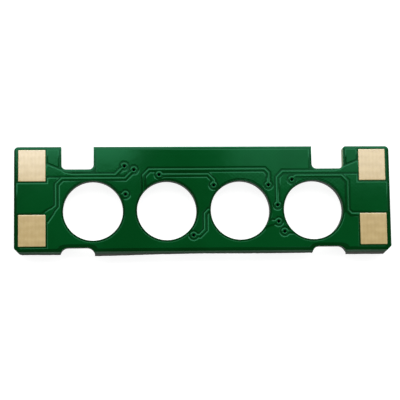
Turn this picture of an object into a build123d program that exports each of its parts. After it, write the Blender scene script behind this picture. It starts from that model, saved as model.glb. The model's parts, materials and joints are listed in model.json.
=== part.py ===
from build123d import *
import os

os.makedirs("parts", exist_ok=True)

# Toner cartridge chip: a small circuit board, contact side up, that lies on the memory chip soldered to its
# back. X runs along the row of holes, Y towards the notched edge, Z out of the contact side. The origin is
# the middle of the footprint, on the surface that the memory chip lies on. Sizes are in millimetres.

# Laminate
board_length = 40.0
board_height = 11.59
board_thickness = 1.0
corner_radius = 0.45
lower_chamfer = 0.84
score_setback = 0.2
score_web = 0.4
torn_ledge = 0.24
lower_foot = score_setback + torn_ledge
overrun = 0.5

# Notches in the upper edge, and the shallow reliefs below them in the lower edge
notch_inset = 4.97
notch_width = 3.4
notch_depth_share = 0.20712
notch_depth = notch_depth_share * board_height
notch_fillet = 0.5
relief_width = 3.6
relief_depth = 0.88
relief_fillet = 0.8

# Row of punched holes, placed by the board's length and height, and sized by the room that both leave
hole_count = 4
hole_pitch_share = 0.19525
hole_drop_share = 0.58885
hole_room_share = 0.3327
hole_pitch = hole_pitch_share * board_length
hole_drop = hole_drop_share * board_height
hole_radius = hole_room_share * (hole_pitch * board_height) ** 0.5

# Layers on each face: bare copper, the mask that coats it, the mask on bare laminate, and the gold
copper = 0.05
coat = 0.025
film = 0.03
gold = 0.012

# Copper pattern
track_width = 0.2
clearance = 0.2
land_gap = 0.1
bend = 0.6
short_bend = 0.4
edge_pullback = 0.3
hole_pullback = 0.2
hole_fill_sides = 24
least_island = 0.15
via_drill = 0.16
via_plating = 0.025
via_land = 0.33
via_sides = 8

# Contacts, two at each end
contact_width = 2.87
contact_height_share = 0.28987
contact_pitch_share = 0.59541
contact_height = contact_height_share * board_height
contact_pitch = contact_pitch_share * board_height
contact_end_inset = 0.44
contact_top_inset = 0.33
teardrop_reach = 2.7
teardrop_root = 1.25
corner_root = 0.9
stub_root = 0.6

# Memory chip on the back, its leads along X
solder = 0.02
body_length = 3.0
body_width = 3.0
body_height = 0.85
body_standoff = 0.1
body_draft = 10
memory_place_share = -0.045
lead_span = 4.9
lead_shoulder = 0.25
lead_pitch = 0.65
lead_width = 0.3
lead_thickness = 0.15
lead_foot = 0.55
lead_count = 4

# Chip capacitor and chip resistor on the back, upright beside the memory chip
chip_length = 1.6
chip_width = 0.8
chip_cap = 0.35
cap_wall = 0.03
capacitor_height = 0.8
resistor_height = 0.45
chip_row_share = 0.065
chip_pitch = 2.0
land_margin = 0.1
land_toe = 0.3
fillet_climb_share = 0.6

# Heights
back_z = body_height + body_standoff + solder + copper
front_z = back_z + board_thickness
seat_z = back_z - copper
front = Plane.XY.offset(front_z)
back = Plane.XY.offset(back_z)

# Places that the copper follows
top_y = board_height / 2
hole_y = top_y - hole_drop
hole_places = [((place - (hole_count - 1) / 2) * hole_pitch, hole_y) for place in range(hole_count)]
rim_x = hole_places[-1][0] + hole_radius
contact_inner = board_length / 2 - contact_end_inset - contact_width
contact_x = contact_inner + contact_width / 2
upper_y = top_y - contact_top_inset - contact_height / 2
lower_y = upper_y - contact_pitch
lower_contact_top = lower_y + contact_height / 2
strip_y = (hole_y + hole_radius + top_y) / 2


def at(place_share):
    # a place given in hole pitches along the row and hole radii above it
    return (place_share[0] * hole_pitch, hole_y + place_share[1] * hole_radius)


def lane(height_share):
    # the height of a long run, as a share of the room from the tops of the holes to the notch floors
    return hole_y + hole_radius + height_share * (hole_drop - hole_radius - notch_depth)


via_names = (
    "upper_left",
    "lower_left",
    "upper_right",
    "lower_right",
    "link_end",
    "long",
    "first_test",
    "second_test",
    "third_test",
    "fourth_test",
)
via_shares = (
    (-1.0736, 1.4992),
    (-0.9456, 1.3728),
    (1.0090, 0.1564),
    (1.2113, 1.0190),
    (0.1383, 0.8389),
    (0.8860, 0.8389),
    (-1.0615, 0.5419),
    (-0.1428, -0.8452),
    (1.0192, -0.3965),
    (1.0986, -0.7346),
)
vias = {name: at(place_share) for name, place_share in zip(via_names, via_shares)}

lane_names = ("upper_left", "lower_left", "upper_right", "lower_right", "link")
lane_shares = (0.5, 0.2, 0.72, 0.37, 0.508)
lanes = {name: lane(height_share) for name, height_share in zip(lane_names, lane_shares)}
lanes["long"] = lanes["link"] + via_land + land_gap + track_width / 2

# The link's first via lies on its lane, just below the long run
link_start_share = (-0.6031, 0)
vias["link_start"] = (at(link_start_share)[0], lanes["link"])

# Upright runs: beside the outer holes, as shares of the room between hole and contact, and between holes
left_run_share = 0.376
right_run_share = 0.287
left_run = -rim_x - left_run_share * (contact_inner - rim_x)
right_run = rim_x + right_run_share * (contact_inner - rim_x)
long_start_share = (-0.815, 0.5)
long_start = at(long_start_share)
stub_run_share = (0.016, 0)
stub_run = at(stub_run_share)[0]


def strip(points, widths):
    # the corners of a strip along a route, with its own width at each point and mitred bends
    spots = [Vector(*point) for point in points]
    ways = [(end - start).normalized() for start, end in zip(spots, spots[1:])]
    left = []
    right = []
    for place, (spot, width) in enumerate(zip(spots, widths)):
        before = ways[max(place - 1, 0)]
        after = ways[min(place, len(ways) - 1)]
        mean = (before + after).normalized()
        across = Vector(-mean.Y, mean.X) * (width / 2 / mean.dot(after))
        left.append(spot + across)
        right.append(spot - across)
    return left + right[::-1]


def track(*points):
    return list(points), [track_width] * len(points)


# A teardrop narrows from its root to the track in these steps
teardrop_reach_shares = (0, 0.57, 0.73, 1)
teardrop_width_shares = (1, 0.42, 0.13, 0)


def teardrop(root, tip, root_width, lean):
    # lean 1 widens it upwards only, -1 downwards only, and 0 both ways
    widths = [track_width + width_share * (root_width - track_width) for width_share in teardrop_width_shares]
    points = []
    for reach_share, width in zip(teardrop_reach_shares, widths):
        lift = lean * (width - track_width) / 2
        reach = Vector(*root) + (Vector(*tip) - Vector(*root)) * reach_share
        points.append((reach.X, reach.Y + lift))
    return points, widths


def slant(place, lane_y, toward):
    # where a 45 degree run from a place meets a lane, to its left (-1) or its right (1)
    return (place[0] + toward * abs(place[1] - lane_y), lane_y)


def hole_side(hole, height, toward):
    # a place just inside a hole's edge at a given height, on its left (-1) or its right (1)
    across = (hole_radius**2 - (height - hole_y) ** 2) ** 0.5
    return (hole_places[hole][0] + toward * (across - track_width), height)


def upper_teardrop(lane_y, side):
    # the teardrop of an upper contact along its lane, at the left (-1) or right (1) end of the board
    root = (side * contact_inner, lane_y)
    return teardrop(root, (root[0] - side * teardrop_reach, lane_y), teardrop_root, 1)


# Front nets: the strips of each, its vias, and the contact that it reaches
corner = (-contact_inner - track_width, lower_contact_top - clearance - track_width)
corner_end = (left_run, corner[1] + left_run - corner[0])
entry_y = lower_contact_top - track_width / 2
nets = {
    "upper_left_net": {
        "contact": (-contact_x, upper_y),
        "vias": ["upper_left"],
        "strips": [
            upper_teardrop(lanes["upper_left"], -1),
            track(
                (-contact_x, lanes["upper_left"]),
                slant(vias["upper_left"], lanes["upper_left"], -1),
                vias["upper_left"],
            ),
        ],
    },
    "lower_left_net": {
        "contact": (-contact_x, lower_y),
        "vias": ["lower_left"],
        "strips": [
            teardrop(corner, corner_end, corner_root, 0),
            track(
                corner,
                corner_end,
                (left_run, lanes["lower_left"] - bend),
                (left_run + bend, lanes["lower_left"]),
                slant(vias["lower_left"], lanes["lower_left"], -1),
                vias["lower_left"],
            ),
        ],
    },
    "upper_right_net": {
        "contact": (contact_x, upper_y),
        "vias": ["upper_right"],
        "strips": [
            upper_teardrop(lanes["upper_right"], 1),
            track(
                (contact_x, lanes["upper_right"]),
                (vias["upper_right"][0] + bend, lanes["upper_right"]),
                (vias["upper_right"][0], lanes["upper_right"] - bend),
                vias["upper_right"],
            ),
        ],
    },
    "lower_right_net": {
        "contact": (contact_x, lower_y),
        "vias": ["lower_right"],
        "strips": [
            track(
                (contact_x, entry_y),
                (right_run + short_bend, entry_y),
                (right_run, entry_y + short_bend),
                (right_run, lanes["lower_right"] - bend),
                (right_run - bend, lanes["lower_right"]),
                slant(vias["lower_right"], lanes["lower_right"], 1),
                vias["lower_right"],
            )
        ],
    },
    "link_net": {
        "vias": ["link_start", "link_end"],
        "strips": [
            track(
                vias["link_start"],
                (vias["link_end"][0] - bend, lanes["link"]),
                (vias["link_end"][0], lanes["link"] - bend),
                vias["link_end"],
            )
        ],
    },
    "long_net": {
        "vias": ["long"],
        "strips": [
            track(
                long_start,
                (long_start[0], lanes["long"] - bend),
                (long_start[0] + bend, lanes["long"]),
                (vias["long"][0] - short_bend, lanes["long"]),
                (vias["long"][0], lanes["long"] - short_bend),
                vias["long"],
            )
        ],
    },
    "first_test_net": {
        "vias": ["first_test"],
        "strips": [track(vias["first_test"], hole_side(0, vias["first_test"][1], 1))],
    },
    "second_test_net": {
        "vias": ["second_test"],
        "strips": [
            track(
                vias["second_test"],
                (stub_run - bend, vias["second_test"][1]),
                (stub_run, vias["second_test"][1] + bend),
                (stub_run, hole_y - short_bend),
                (stub_run + short_bend, hole_y),
                hole_side(2, hole_y, -1),
            )
        ],
    },
    "third_test_net": {
        "vias": ["third_test"],
        "strips": [
            teardrop(hole_side(2, vias["third_test"][1], 1), vias["third_test"], stub_root, -1),
        ],
    },
    "fourth_test_net": {
        "vias": ["fourth_test"],
        "strips": [track(vias["fourth_test"], hole_side(3, vias["fourth_test"][1], -1))],
    },
}

# Places on the back: the memory chip's lands, and the chips beside it with two lands each
memory_x = memory_place_share * board_length
lead_ys = [strip_y + (place - (lead_count - 1) / 2) * lead_pitch for place in range(lead_count)]
lead_land_length = lead_foot + land_toe
lead_land_x = lead_span / 2 + land_toe - lead_land_length / 2
lead_land_width = lead_width + land_margin
chip_land_y = chip_length / 2 - chip_cap + (chip_cap + land_toe) / 2
capacitor_x = chip_row_share * board_length
resistor_x = capacitor_x + chip_pitch
chips = {"capacitor": (capacitor_x, capacitor_height), "resistor": (resistor_x, resistor_height)}
left_lands = [(memory_x - lead_land_x, lead_y) for lead_y in lead_ys]
right_lands = [(memory_x + lead_land_x, lead_y) for lead_y in lead_ys]
lower_lands = [(chip_x, strip_y - chip_land_y) for chip_x, _ in chips.values()]
upper_lands = [(chip_x, strip_y + chip_land_y) for chip_x, _ in chips.values()]
first_left, second_left, third_left, fourth_left = left_lands
first_right, second_right, third_right, fourth_right = right_lands
capacitor_low, resistor_low = lower_lands
capacitor_high, resistor_high = upper_lands

# Back tracks, from the vias to the lands, and under the row of holes between three of the test vias
over_lane = top_y - edge_pullback - track_width / 2
under_lane = edge_pullback + lower_foot + track_width / 2 - top_y
riser_share = (-0.845, 0)
riser = at(riser_share)[0]
entry_drop = vias["link_end"][0] - first_right[0]
back_tracks = [
    track(vias["upper_left"], slant(vias["upper_left"], fourth_left[1], 1), fourth_left),
    track(vias["lower_left"], slant(vias["lower_left"], third_left[1], 1), third_left),
    track(
        vias["first_test"],
        (riser, vias["first_test"][1] + riser - vias["first_test"][0]),
        (riser, second_left[1] - bend),
        (riser + bend, second_left[1]),
        second_left,
    ),
    track(vias["link_start"], slant(vias["link_start"], first_left[1], 1), first_left),
    track(vias["link_end"], (vias["link_end"][0], first_right[1] - entry_drop), first_right),
    track(second_right, slant(capacitor_low, second_right[1], -1), capacitor_low),
    track(third_right, slant(capacitor_high, third_right[1], -1), capacitor_high),
    track(
        fourth_right,
        slant(fourth_right, over_lane, 1),
        (vias["lower_right"][0] - bend, over_lane),
        (vias["lower_right"][0], over_lane - bend),
        vias["lower_right"],
    ),
    track(vias["long"], slant(vias["long"], resistor_low[1], -1), resistor_low),
    track(
        vias["upper_right"],
        (vias["upper_right"][0], resistor_high[1] - bend),
        (vias["upper_right"][0] - bend, resistor_high[1]),
        resistor_high,
    ),
    track(
        vias["third_test"],
        vias["fourth_test"],
        slant(vias["fourth_test"], under_lane, -1),
        slant(vias["second_test"], under_lane, 1),
        vias["second_test"],
    ),
]


def draw_outline(inset, foot, rounded):
    # the board's outline, taken in all round by inset, with its lower edge raised by foot
    low = -top_y + foot + inset
    high = top_y - inset
    with Locations((0, (low + high) / 2)):
        Rectangle(board_length - 2 * inset, high - low)
    corners = vertices().group_by(Axis.Y)
    chamfer(corners[0], lower_chamfer - foot)
    if rounded:
        fillet(corners[-1], corner_radius)
    notch_x = board_length / 2 - notch_inset - notch_width / 2
    with BuildSketch(mode=Mode.PRIVATE) as notch:
        with Locations((0, top_y + overrun)):
            Rectangle(
                notch_width + 2 * inset, notch_depth + inset + overrun, align=(Align.CENTER, Align.MAX)
            )
        if rounded:
            fillet(notch.vertices().group_by(Axis.Y)[0], notch_fillet)
    with BuildSketch(mode=Mode.PRIVATE) as relief:
        with Locations((0, relief_depth + inset - top_y)):
            Rectangle(
                relief_width + 2 * inset,
                relief_depth + inset + relief_fillet,
                align=(Align.CENTER, Align.MAX),
            )
        if rounded:
            fillet(relief.vertices().group_by(Axis.Y)[-1], relief_fillet)
    with Locations((-notch_x, 0), (notch_x, 0)):
        add(notch.sketch, mode=Mode.SUBTRACT)
        add(relief.sketch, mode=Mode.SUBTRACT)


def draw_holes():
    with Locations(*hole_places):
        Circle(hole_radius, mode=Mode.SUBTRACT)


def draw_vias(names, radius, mode):
    with Locations(*[vias[name] for name in names]):
        RegularPolygon(radius, via_sides, major_radius=False, rotation=180 / via_sides, mode=mode)


def draw_contact(net, growth, mode):
    if "contact" in net:
        with Locations(net["contact"]):
            Rectangle(contact_width + 2 * growth, contact_height + 2 * growth, mode=mode)


def draw_net(net, growth, mode):
    # a net's strips and via lands, grown all round
    for points, widths in net["strips"]:
        Polygon(*strip(points, [width + 2 * growth for width in widths]), mode=mode)
    draw_vias(net["vias"], via_land + growth, mode)


def draw_lands(mode):
    with Locations(*left_lands, *right_lands):
        Rectangle(lead_land_length, lead_land_width, mode=mode)
    with Locations(*lower_lands, *upper_lands):
        Rectangle(chip_width + land_margin, chip_cap + land_toe, mode=mode)


def draw_back_tracks(mode):
    for points, widths in back_tracks:
        Polygon(*strip(points, widths), mode=mode)
    draw_vias(vias, via_land, mode)


# The laminate: routed outline, punched holes, drilled vias, and the ledge torn between the two scores when the
# lower edge was snapped off
with BuildPart() as board_core:
    with BuildSketch(back):
        draw_outline(0, 0, True)
        draw_holes()
        draw_vias(vias, via_drill + via_plating, Mode.SUBTRACT)
    extrude(amount=board_thickness)
    score_depth = (board_thickness - score_web) / 2
    with BuildSketch(Plane.YZ):
        for face_z, inward in ((front_z, -1), (back_z, 1)):
            Polygon(
                (-top_y - overrun, face_z),
                (-top_y + lower_foot, face_z),
                (-top_y + torn_ledge, face_z + inward * score_depth),
                (-top_y - overrun, face_z + inward * score_depth),
            )
    extrude(amount=board_length, both=True, mode=Mode.SUBTRACT)
board_core.part.label = "board_core"
export_step(board_core.part, "parts/board_core.step")

# The front nets: coated tracks and lands, with a bare pad under each contact
for name, net in nets.items():
    with BuildPart() as conductor:
        with BuildSketch(front):
            draw_net(net, 0, Mode.ADD)
            draw_holes()
            draw_contact(net, 0, Mode.SUBTRACT)
            draw_vias(net["vias"], via_drill, Mode.SUBTRACT)
        extrude(amount=copper + coat)
        if "contact" in net:
            with BuildSketch(front):
                draw_contact(net, 0, Mode.ADD)
            extrude(amount=copper)
    conductor.part.label = name
    export_step(conductor.part, f"parts/{name}.step")

# The gold contacts, plated on the bare pads
for name, net in nets.items():
    if "contact" in net:
        contact_name = name.replace("net", "contact")
        with BuildPart() as contact:
            with BuildSketch(front.offset(copper)):
                draw_contact(net, 0, Mode.ADD)
            extrude(amount=gold)
        contact.part.label = contact_name
        export_step(contact.part, f"parts/{contact_name}.step")

# The ground copper fills what the nets leave, less scraps too small to etch
with BuildSketch(front) as ground_fill:
    draw_outline(edge_pullback, lower_foot, False)
    with Locations(*hole_places):
        RegularPolygon(hole_radius + hole_pullback, hole_fill_sides, major_radius=False, mode=Mode.SUBTRACT)
    for net in nets.values():
        draw_net(net, clearance, Mode.SUBTRACT)
        draw_contact(net, clearance, Mode.SUBTRACT)
ground_faces = [face for face in ground_fill.faces() if face.area > least_island]
with BuildPart() as front_ground:
    with BuildSketch(front):
        add(ground_faces)
    extrude(amount=copper + coat)
front_ground.part.label = "front_ground"
export_step(front_ground.part, "parts/front_ground.step")

# The mask on bare laminate, between the nets and the ground
with BuildPart() as front_mask:
    with BuildSketch(front):
        draw_outline(0, lower_foot, True)
        draw_holes()
        add(ground_faces, mode=Mode.SUBTRACT)
        for net in nets.values():
            draw_net(net, 0, Mode.SUBTRACT)
            draw_contact(net, 0, Mode.SUBTRACT)
    extrude(amount=film)
front_mask.part.label = "front_mask"
export_step(front_mask.part, "parts/front_mask.step")

# The plated tubes of the vias
with BuildPart() as via_barrels:
    with BuildSketch(back):
        draw_vias(vias, via_drill + via_plating, Mode.ADD)
        draw_vias(vias, via_drill, Mode.SUBTRACT)
    extrude(amount=board_thickness)
via_barrels.part.label = "via_barrels"
export_step(via_barrels.part, "parts/via_barrels.step")

# The back copper: bare lands, and coated tracks whose coat closes the vias
with BuildPart() as back_copper:
    with BuildSketch(back):
        draw_back_tracks(Mode.ADD)
        draw_lands(Mode.SUBTRACT)
    extrude(amount=-copper - coat)
    with BuildSketch(back):
        draw_lands(Mode.ADD)
    extrude(amount=-copper)
back_copper.part.label = "back_copper"
export_step(back_copper.part, "parts/back_copper.step")

# The mask on the bare laminate of the back
with BuildPart() as back_mask:
    with BuildSketch(back):
        draw_outline(0, lower_foot, True)
        draw_holes()
        draw_lands(Mode.SUBTRACT)
        draw_back_tracks(Mode.SUBTRACT)
    extrude(amount=-film)
back_mask.part.label = "back_mask"
export_step(back_mask.part, "parts/back_mask.step")

# The memory chip: a moulded body with draft above and below the plane where the leads come out
body_plane = Plane((memory_x, strip_y, body_height / 2))
body_half = (body_height - lead_thickness) / 2
with BuildPart() as memory_body:
    with BuildSketch(body_plane):
        Rectangle(body_length, body_width)
    extrude(amount=lead_thickness / 2, both=True)
    for turn in (0, 180):
        with BuildSketch(body_plane.rotated((turn, 0, 0)).offset(lead_thickness / 2)):
            Rectangle(body_length, body_width)
        extrude(amount=body_half, taper=body_draft)
memory_body.part.label = "memory_body"
export_step(memory_body.part, "parts/memory_body.step")


def side_plane(side, middle_y):
    # an upright plane through a lead, with its first axis out of the body, to the left (-1) or right (1)
    return Plane((memory_x, middle_y, 0), x_dir=(side, 0, 0), z_dir=(0, -side, 0))


# Gull-wing leads and the solder that wets each foot and climbs its toe
foot_z = seat_z - solder - lead_thickness / 2
lead_route = [
    (body_length / 2, body_height / 2),
    (body_length / 2 + lead_shoulder, body_height / 2),
    (lead_span / 2 - lead_foot, foot_z),
    (lead_span / 2, foot_z),
]
lead_joint = [
    (lead_span / 2 - lead_foot, seat_z),
    (lead_span / 2 + land_toe, seat_z),
    (lead_span / 2, seat_z - solder - fillet_climb_share * lead_thickness),
    (lead_span / 2, seat_z - solder),
    (lead_span / 2 - lead_foot, seat_z - solder),
]
for name, outline in (
    ("memory_leads", strip(lead_route, [lead_thickness] * len(lead_route))),
    ("memory_joints", lead_joint),
):
    with BuildPart() as row:
        for side in (-1, 1):
            for lead_y in lead_ys:
                with BuildSketch(side_plane(side, lead_y)):
                    Polygon(*outline)
        extrude(amount=lead_width / 2, both=True)
    row.part.label = name
    export_step(row.part, f"parts/{name}.step")

# Chip capacitor and resistor: a ceramic body held in two end caps
for name, (chip_x, height) in chips.items():
    cap_face = Plane((chip_x, strip_y, seat_z - solder))
    with BuildPart() as chip_body:
        with BuildSketch(cap_face.offset(-cap_wall)):
            Rectangle(chip_width - 2 * cap_wall, chip_length - 2 * cap_wall)
        extrude(amount=-height)
    chip_body.part.label = f"{name}_body"
    export_step(chip_body.part, f"parts/{name}_body.step")
    with BuildPart() as chip_caps:
        with BuildSketch(cap_face):
            with Locations((0, -(chip_length - chip_cap) / 2), (0, (chip_length - chip_cap) / 2)):
                Rectangle(chip_width, chip_cap)
        extrude(amount=-height - 2 * cap_wall)
        add(chip_body.part, mode=Mode.SUBTRACT)
    chip_caps.part.label = f"{name}_caps"
    export_step(chip_caps.part, f"parts/{name}_caps.step")

# The solder under and beside each end cap
with BuildPart() as chip_joints:
    for chip_x, height in chips.values():
        for side in (-1, 1):
            with BuildSketch(Plane((chip_x, strip_y, 0), x_dir=(0, side, 0), z_dir=(side, 0, 0))):
                Polygon(
                    (chip_length / 2 - chip_cap, seat_z),
                    (chip_length / 2 + land_toe, seat_z),
                    (chip_length / 2, seat_z - solder - fillet_climb_share * height),
                    (chip_length / 2, seat_z - solder),
                    (chip_length / 2 - chip_cap, seat_z - solder),
                )
    extrude(amount=chip_width / 2, both=True)
chip_joints.part.label = "chip_joints"
export_step(chip_joints.part, "parts/chip_joints.step")
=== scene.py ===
import json
import math
import bmesh
import bpy
import numpy
from mathutils import Euler, Matrix, Vector, noise
from mathutils.geometry import delaunay_2d_cdt


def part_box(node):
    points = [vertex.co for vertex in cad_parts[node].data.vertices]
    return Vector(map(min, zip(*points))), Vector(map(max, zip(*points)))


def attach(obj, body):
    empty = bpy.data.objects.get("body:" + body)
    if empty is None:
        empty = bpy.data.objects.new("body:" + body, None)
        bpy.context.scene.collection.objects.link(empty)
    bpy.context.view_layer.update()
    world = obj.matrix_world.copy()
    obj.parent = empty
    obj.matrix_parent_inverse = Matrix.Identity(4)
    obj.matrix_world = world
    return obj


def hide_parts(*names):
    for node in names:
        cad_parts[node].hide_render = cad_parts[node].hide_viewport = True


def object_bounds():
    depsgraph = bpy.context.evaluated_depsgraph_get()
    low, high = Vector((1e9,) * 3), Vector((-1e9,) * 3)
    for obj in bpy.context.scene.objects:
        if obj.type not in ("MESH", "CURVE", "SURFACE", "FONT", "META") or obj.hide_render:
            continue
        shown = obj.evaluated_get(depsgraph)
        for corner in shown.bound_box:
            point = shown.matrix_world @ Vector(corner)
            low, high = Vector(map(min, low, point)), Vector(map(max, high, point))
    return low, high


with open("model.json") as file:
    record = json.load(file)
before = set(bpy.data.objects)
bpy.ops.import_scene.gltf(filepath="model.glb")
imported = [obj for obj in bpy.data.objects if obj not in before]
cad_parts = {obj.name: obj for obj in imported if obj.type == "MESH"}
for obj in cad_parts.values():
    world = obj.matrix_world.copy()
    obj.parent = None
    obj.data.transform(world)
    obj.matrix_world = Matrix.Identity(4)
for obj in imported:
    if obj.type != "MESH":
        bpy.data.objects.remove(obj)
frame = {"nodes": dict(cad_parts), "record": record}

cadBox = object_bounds()
nodes = frame["nodes"]
mounts = {mount["name"]: mount for mount in frame["record"]["mounts"]}
scene = bpy.context.scene
perMetre = 1000  # the pieces are drawn in millimetres
print("stage: frame loaded")


def level(node, end):
    # the height of a node's lowest (0) or highest (1) face
    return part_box(node)[end].z * perMetre


heights = {
    "front": level("board_core", 1),
    "film": level("front_mask", 1),
    "coat": level("front_ground", 1),
    "gold": level("upper_left_contact", 1),
    "back": level("board_core", 0),
    "backFilm": level("back_mask", 0),
    "backCoat": level("back_copper", 0),
    "land": level("memory_joints", 1),
}
sides = {
    "left": cadBox[0].x * perMetre,
    "right": cadBox[1].x * perMetre,
    "lower": cadBox[0].y * perMetre,
    "upper": cadBox[1].y * perMetre,
}
# How close counts as the same place
near = {
    "level": 0.002,
    "edge": 0.001,
    "corner": 0.01,
    "rim": 0.03,
    "wall": 0.02,
    "cut": 1e-5,
    "join": 1e-6,
}


# Shader sums: a wire is a socket, and the sums done on it become nodes
class Wire:
    def __init__(self, tree, socket=None):
        self.tree = tree
        self.socket = socket

    def made(self, kind, feeds=(), outlet=0, **fields):
        node = self.tree.nodes.new(kind)
        for key, value in fields.items():
            setattr(node, key, value)
        for key, value in dict(feeds).items():
            if isinstance(value, Wire):
                self.tree.links.new(value.socket, node.inputs[key])
            else:
                node.inputs[key].default_value = value
        return Wire(self.tree, node.outputs[outlet])

    def sum(self, operation, first, second=0.0):
        return self.made("ShaderNodeMath", {0: first, 1: second}, operation=operation)

    def __add__(self, other):
        return self.sum("ADD", self, other)

    def __radd__(self, other):
        return self.sum("ADD", other, self)

    def __sub__(self, other):
        return self.sum("SUBTRACT", self, other)

    def __rsub__(self, other):
        return self.sum("SUBTRACT", other, self)

    def __mul__(self, other):
        return self.sum("MULTIPLY", self, other)

    def __rmul__(self, other):
        return self.sum("MULTIPLY", other, self)

    def __truediv__(self, other):
        return self.sum("DIVIDE", self, other)

    def __rtruediv__(self, other):
        return self.sum("DIVIDE", other, self)

    def __abs__(self):
        return self.sum("ABSOLUTE", self)

    def fading(self, reach):
        # 1 where the wire is 0, and less and less over a reach
        return self.sum("EXPONENT", self / -reach)

    def wave(self, pitch, shift):
        # a sine along the wire, from -1 to 1
        return self.sum("SINE", self * (2 * math.pi / pitch) + shift)

    def lifted(self):
        # from the range -1 to 1 into 0 to 1
        return self * 0.5 + 0.5

    def between(self, low, high):
        # 0 below low, 1 above high, and smooth between them
        return self.made(
            "ShaderNodeMapRange", {0: self, 1: low, 2: high}, interpolation_type="SMOOTHSTEP", clamp=True
        )

    def tint(self, first, second):
        # a colour that goes from the first to the second as the wire goes from 0 to 1
        return self.made(
            "ShaderNodeMix", {0: self, 6: (*first, 1), 7: (*second, 1)}, outlet=2, data_type="RGBA"
        )

    def over(self, first, second):
        # the same, between two colours that are wires
        return self.made("ShaderNodeMix", {0: self, 6: first, 7: second}, outlet=2, data_type="RGBA")

    def stretched(self, x, y, z):
        return self.made("ShaderNodeMapping", {0: self, 3: (x, y, z)})

    def noise(self, scale, detail=2.0, roughness=0.5, stretch=None):
        spot = self.stretched(*stretch) if stretch else self
        return self.made(
            "ShaderNodeTexNoise", {"Vector": spot, "Scale": scale, "Detail": detail, "Roughness": roughness}
        )

    def part(self, axis):
        return self.made("ShaderNodeSeparateXYZ", {0: self}, outlet="XYZ".index(axis))


def weighted(shares, **wires):
    # the sum of the wires, each times its share, over a base if the shares have one
    parts = [wire * shares[name] for name, wire in wires.items()]
    total = sum(parts[1:], parts[0])
    return total + shares["base"] if "base" in shares else total


def newMaterial(name, **constants):
    # a material, its main shader, and its object coordinates in millimetres
    material = bpy.data.materials.new(name)
    material.use_nodes = True
    tree = material.node_tree
    shader = tree.nodes["Principled BSDF"]
    for key, value in constants.items():
        shader.inputs[key].default_value = value
    spot = Wire(tree).made("ShaderNodeTexCoord", outlet="Object")
    return material, shader, spot.stretched(perMetre, perMetre, perMetre)


def feed(shader, **wires):
    for key, wire in wires.items():
        wire.tree.links.new(wire.socket, shader.inputs[key.replace("_", " ")])


def bump(wire, strength):
    # the wire is a height in millimetres
    return wire.made("ShaderNodeBump", {"Height": wire, "Distance": 1 / perMetre, "Strength": strength})


# Solder mask: dark over laminate, lighter over copper, with the glass cloth faintly showing through it, and
# painted shade at the foot of the copper
maskLook = {
    "laminate": {"deep": (0.0001, 0.0175, 0.0010), "light": (0.0002, 0.0245, 0.0024)},
    "copper": {"deep": (0.0001, 0.0385, 0.0050), "light": (0.0003, 0.0475, 0.0074)},
    "gloss": {"IOR": 1.5, "Specular IOR Level": 0.42, "Specular Tint": (0.17, 1.0, 0.52, 1)},
    "drift": {"scale": 0.16, "detail": 3, "roughness": 0.55},
    "driftContrast": (0.3, 0.7),
    "grain": {"scale": 9, "detail": 3, "roughness": 0.6},
    "warpPitch": 0.46,
    "weftPitch": 0.46 / 1.18,
    "wander": {"scale": 0.7},
    "wanderTurn": 2.2,
    "shares": {"drift": 0.62, "grain": 0.24, "cloth": 0.14},
    "contrast": (0.15, 0.85),
    # heights over the film across which the painted shade at the copper's foot fades out
    "darkFoot": (0.006, 0.032),
    "dust": {"scale": 26, "roughness": 0.7},
    "dustContrast": (0.72, 0.8),
    "dustTone": (0.12, 0.2, 0.14),
    "dustShare": 0.05,
    "roughness": {"base": 0.05, "grain": 0.08, "dust": 0.2},
    "swell": {"scale": 1.7, "detail": 3},
    "relief": {"swell": 0.0025, "cloth": 0.0004, "grain": 0.0003},
    "rollOff": {"depth": 0.021, "reach": 0.26},
    "strength": 1.0,
}


def makeMask(name, under):
    look = maskLook[under]
    material, shader, spot = newMaterial(name, **maskLook["gloss"])
    drift = spot.noise(**maskLook["drift"]).between(*maskLook["driftContrast"])
    grain = spot.noise(**maskLook["grain"])
    wander = spot.noise(**maskLook["wander"]) * maskLook["wanderTurn"]
    warp = spot.part("X").wave(maskLook["warpPitch"], wander)
    weft = spot.part("Y").wave(maskLook["weftPitch"], wander)
    cloth = (warp * weft).lifted()
    shade = weighted(maskLook["shares"], drift=drift, grain=grain, cloth=cloth)
    shade = shade.between(*maskLook["contrast"])
    tone = shade.tint(look["deep"], look["light"])
    if under == "copper":
        # the foot of the copper's coat takes the darker tone of mask over laminate: partly that real tone in
        # the gaps, partly painted shade between the copper
        middle = (heights["front"] + heights["back"]) / 2
        lift = abs(spot.part("Z") - middle) - (heights["film"] - middle)
        foot = shade.tint(maskLook["laminate"]["deep"], maskLook["laminate"]["light"])
        tone = lift.between(*maskLook["darkFoot"]).over(foot, tone)
    dust = spot.noise(**maskLook["dust"]).between(*maskLook["dustContrast"])
    dustTone = dust.tint(look["light"], maskLook["dustTone"])
    feed(shader, Base_Color=(dust * maskLook["dustShare"]).over(tone, dustTone))
    feed(shader, Roughness=weighted(maskLook["roughness"], grain=grain, dust=dust))
    # the coat thins gently towards the straight outer edges
    fall = maskLook["rollOff"]
    inX = sides["right"] - abs(spot.part("X"))
    inY = sides["upper"] - abs(spot.part("Y"))
    thin = inX.fading(fall["reach"]) + inY.fading(fall["reach"])
    swell = spot.noise(**maskLook["swell"])
    relief = weighted(maskLook["relief"], swell=swell, cloth=cloth, grain=grain)
    feed(shader, Normal=bump(relief - thin * fall["depth"], maskLook["strength"]))
    return material


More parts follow.
